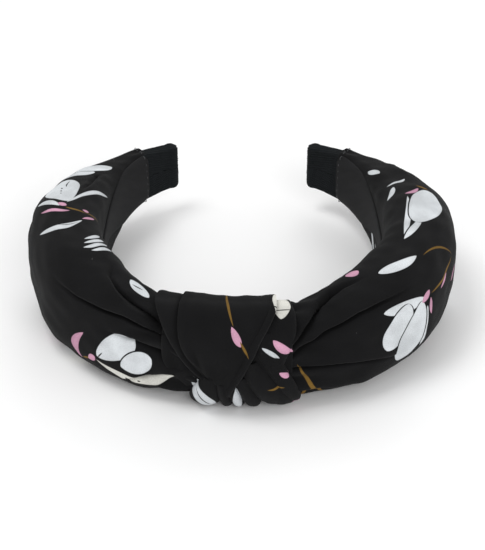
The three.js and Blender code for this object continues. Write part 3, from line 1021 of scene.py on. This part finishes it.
leftPrint = [
    (-132, 16.5, 122, 7.8, 4.4, 0.6, 0, "white"),
    (-140.5, 18.6, 157, 6.8, 4.4, 0, 0, "white"),
    (-114.5, 23.8, 29, 11.6, 6.8, 0, -0.25, "white"),
    (-120.5, 22.8, 20, 3.6, 0.35, 0.4, 0, "line"),
    (-115.6, 23.4, 30, 0.7, 0.4, 0, 0, "line"),
    (-113.2, 24.2, 30, 0.6, 0.4, 0, 0, "line"),
    (-111, 25.0, 30, 0.5, 0.35, 0, 0, "line"),
    (-104.2, 22.3, 60, 6.2, 1.9, -0.8, 0, "white"),
    (-114, 34.4, 158, 12, 1.2, 0.8, 0, "white"),
    (-101.6, 27.9, 60, 1.9, 1.2, 0, 0, "pink"),
    (-97.6, 33, 61, 4.6, 0.55, 0, 0, "ochre"),
    (-96.4, 40.3, 98, 4.2, 0.5, 0.3, 0, "ochre"),
    (-98, 25.2, 77, 5.9, 0.95, 0.4, 0, "pink"),
    (-97.8, 36.8, 70, 1.3, 1.1, 0, 0.3, "pink"),
    (-92, 37.8, 123, 3.1, 0.85, 0.3, 0, "pink"),
    (-86.6, 26.4, 92, 8.9, 2.1, 2.5, 0.1, "white"),
    (-87.6, 30, 92, 4.6, 0.25, 1.0, 0, "line"),
    (-76.3, 36.3, 118, 4.3, 1.1, 0.9, 0, "white"),
    (-73, 35.8, 108, 5.0, 1.2, 0.9, 0, "white"),
    (-69.6, 34.6, 100, 5.6, 1.3, 0.9, 0, "white"),
    (-66, 35.0, 88, 4.6, 1.2, 0.8, 0, "white"),
    (-57, -6.8, 79, 6.4, 1.6, -2.5, 0, "pink"),
    (-53, -11.2, 30, 2.2, 0.5, 0, 0, "ochre"),
    (-50.4, -9.7, 40, 1.9, 1.3, 0, 0.2, "pink"),
    (-35, -12.4, 3, 13.8, 2.1, 4.0, 0.1, "cream"),
    (-41.5, -2.2, 40, 8.4, 4.9, 0, 0.25, "white"),
    (-34.2, -5.4, 30, 6.0, 4.2, 0, 0.2, "white"),
    (-46.6, -6.6, 55, 1.8, 0.3, 0, 0, "line"),
    (-37.8, -12.4, 10, 0.7, 0.4, 0, 0, "line"),
    (-34, -12.9, 10, 0.6, 0.35, 0, 0, "line"),
    (-39.5, 24.4, -28, 6.4, 2.3, 0, 0, "white"),
    (-40.5, 25, -10, 2.6, 0.3, 0, 0, "line"),
    (-116, -14, 80, 9, 4.6, 1, 0.2, "white"),
    (-107, -17, 40, 8, 4.0, -1, 0.2, "white"),
    (-112, -6, 10, 6, 1.0, 0.5, 0, "pink"),
    (-98, -10, 20, 9, 0.5, 1.5, 0, "ochre"),
    (-72, -26, 35, 9, 4.4, 1, 0.2, "white"),
    (-63, -24, 95, 8, 4.0, 1, 0.2, "cream"),
    (-78, -17, 150, 5, 1.0, 0.5, 0, "pink"),
]
rightPrint = [
    (142, 25.2, -10, 3.9, 1.9, 0, 0, "white"),
    (125.4, 28, -73, 5.2, 1.5, 1.0, 0, "white"),
    (116.8, 35.2, -42, 4.8, 1.3, 0.5, 0, "white"),
    (92, 33.4, 2, 18, 1.7, -2.4, 0, "white"),
    (84, 29.8, -8, 9, 1.9, 0, 0, "white"),
    (101, 26.8, -14, 13, 6.6, 0, 0.05, "white"),
    (113, 28.4, -60, 3.7, 1.1, 0.6, 0, "pink"),
    (116, 23.6, 40, 2.4, 0.7, 0, 0, "ochre"),
    (54, 9.8, -7, 8.8, 2.7, 0, 0, "white"),
    (50.6, 3.2, 58, 8.6, 5.3, 0, -0.1, "white"),
    (61.7, -2.6, 84, 8.6, 1.8, -0.6, 0, "white"),
    (56.8, -2.2, 68, 11.4, 5.6, 0, -0.25, "white"),
    (63.2, 8.9, 35, 2.6, 1.2, 0, 0, "pink"),
    (64.6, 4.4, 88, 3.3, 0.75, -0.3, 0, "pink"),
    (75.2, 9.3, 7, 9.8, 0.55, 0.7, 0, "ochre"),
    (80, 18.7, -35.4, 9.2, 0.5, -3.1, 0, "ochre"),
    (74.6, 8.0, 22, 3.3, 0.75, 0, 0, "pink"),
    (86, 3, 20, 3.6, 0.9, 0, 0, "pink"),
    (60.5, 24.2, -10, 8.7, 2.6, 0.4, -0.25, "white"),
    (45.5, 31.2, 8, 3.0, 1.8, 0, 0, "pink"),
    (12.6, 6.6, -45, 4.0, 1.4, 0.3, 0, "pink"),
    (22, -10.5, -57, 10.6, 0.7, 0.8, 0, "ochre"),
    (20.4, -15, 73, 4.4, 0.6, 0, 0, "ochre"),
    (128, -40, 172, 6, 1.8, 0.5, 0, "white"),
    (117, -42, 168, 6, 1.6, 0.5, 0, "white"),
    (139, -35, 160, 2.2, 1.3, 0, 0, "pink"),
    (84, -44, 175, 9, 0.5, 0.8, 0, "ochre"),
    (112, -12, 100, 9, 4.6, 1, 0.2, "white"),
    (102, -16, 140, 8, 4.0, -1, 0.2, "white"),
    (96, -6, 170, 9, 0.5, 1.5, 0, "ochre"),
    (84, -27, 120, 8, 4.2, 1, 0.2, "cream"),
    (74, -24, 60, 6, 1.0, 0.5, 0, "pink"),
]
knotPrint = [
    (-5, 22.5, -77, 8, 0.5, 0.6, 0, "ochre"),
    (-1.9, 12, -66, 3.4, 1.2, 0, 0.2, "pink"),
    (0.5, 8.0, -66, 3.2, 0.45, 0, 0, "ochre"),
    (13.4, 23.6, 78, 6.8, 3.6, 0, 0.1, "cream"),
    (13, 20.6, 2, 4.4, 0.35, 0.3, 0, "line"),
    (11.8, 7.2, -45, 4.2, 1.5, 0.3, 0, "pink"),
    (8.3, 5.9, -41, 3.6, 0.8, 0, 0, "white"),
    (12.4, -3.1, -40, 2.0, 0.9, 0, 0, "pink"),
    (21.2, -10, -57, 10.8, 0.6, 0.8, 0, "ochre"),
    (20.4, -15, 73, 4.4, 0.5, 0, 0, "ochre"),
    (10, -8.1, 0, 2.8, 0.5, 0, 0, "ochre"),
    (17.4, -18.3, 0, 1.6, 1.0, 0, 0, "pink"),
    (-1.6, -13.5, -86, 6.2, 1.9, 0.3, 0.15, "white"),
    (-12.6, -13, -62, 7, 3.2, 0.4, 0.1, "white"),
    (-12.2, -13.4, -62, 5, 0.3, 0.4, 0, "line"),
    (-8, 48, 20, 9, 3.4, 1, 0.1, "white"),
    (3, 50, 70, 7, 2.6, 1, 0.1, "cream"),
]


petalGroup = makePetalGroup()
clothGroup = makeClothGroup()
grosgrainCloth = makePlain("grosgrain", ink(20, 23, 25), 0.8, 1.6, 0.1, 0.12, place="UV", stretch=(5, 1, 1))
liningCloth = makePlain("lining ribbon", ink(31, 31, 32), 0.8, 1.8, 0.06, 0.1, place="UV", stretch=(1, 4, 1))
foamStuff = makePlain("padding foam", ink(214, 208, 190), 0.95, 900, 0.3, 0.08)
corePlastic = makePlain("core plastic", ink(24, 24, 25), 0.42, 400, 0.03, 0.06, shine=0.5)
threadStuff = makePlain("sewing thread", ink(84, 85, 87), 0.75, 2500, 0.05, 0.15)
leftCloth = makePrint("left sleeve print", leftPrint, clothGroup, petalGroup)
rightCloth = makePrint("right sleeve print", rightPrint, clothGroup, petalGroup)
knotCloth = makePrint("knot print", knotPrint, clothGroup, petalGroup)
print("materials made")

for node in ("core_crown", "core_left_arm", "core_right_arm"):
    core = bpy.data.objects[node]
    core.data.materials.clear()
    core.data.materials.append(corePlastic)

leftSeed, rightSeed = 3, 11
addSleeve("left", leftFolds, leftSeed, leftCloth)
addSleeve("right", rightFolds, rightSeed, rightCloth)
print("sleeves made")
addFoam("left", foamStuff, ["foam_left_arm", "foam_crown"])
addFoam("right", foamStuff, ["foam_right_arm"])
for side in sides:
    addLining(side, liningCloth)
addBunch(knotCloth)
addKnotBands(knotCloth)
addPleats(knotCloth)
print("knot made")
for side, folds, seed in (("left", leftFolds, leftSeed), ("right", rightFolds, rightSeed)):
    addTip(side, grosgrainCloth)
    addStitches(side, folds, seed, threadStuff)
addLooseEnd(threadStuff)
print("tips made")


studio = {
    "floorSize": 6.0,        # m
    "floorGap": 0.0001,
    "floorColour": (0.93, 0.93, 0.93, 1),
    "skyStrength": 0.62,
    "aim": (0, 0, 0.02),
    "lights": [              # place in m, size in m, watts
        ((-0.5, -0.1, 1.3), 0.6, 6.5),
        ((0.5, -1.3, 0.8), 0.9, 9.5),
        ((0.2, 1.1, 0.9), 0.8, 3.0),
    ],
}


def addFloor():
    bpy.ops.object.select_all(action="DESELECT")
    place = (0, 0, cadLow.z - studio["floorGap"])
    bpy.ops.mesh.primitive_plane_add(size=studio["floorSize"], location=place)
    floor = bpy.context.object
    floor.name = "studio floor"
    material, tree, surface = startMaterial("studio floor", 0.9)
    surface.inputs["Base Color"].default_value = studio["floorColour"]
    floor.data.materials.append(material)


def addLights():
    for place, size, power in studio["lights"]:
        bpy.ops.object.light_add(type="AREA", location=place)
        light = bpy.context.object
        light.data.size = size
        light.data.energy = power
        light.rotation_euler = (Vector(studio["aim"]) - Vector(place)).to_track_quat("-Z", "Y").to_euler()
    world = bpy.data.worlds.new("studio")
    bpy.context.scene.world = world
    world.use_nodes = True
    sky = world.node_tree.nodes["Background"]
    sky.inputs[0].default_value = (1, 1, 1, 1)
    sky.inputs[1].default_value = studio["skyStrength"]
    bpy.context.scene.view_settings.view_transform = "Standard"


addFloor()
addLights()
print("floor and lights placed")
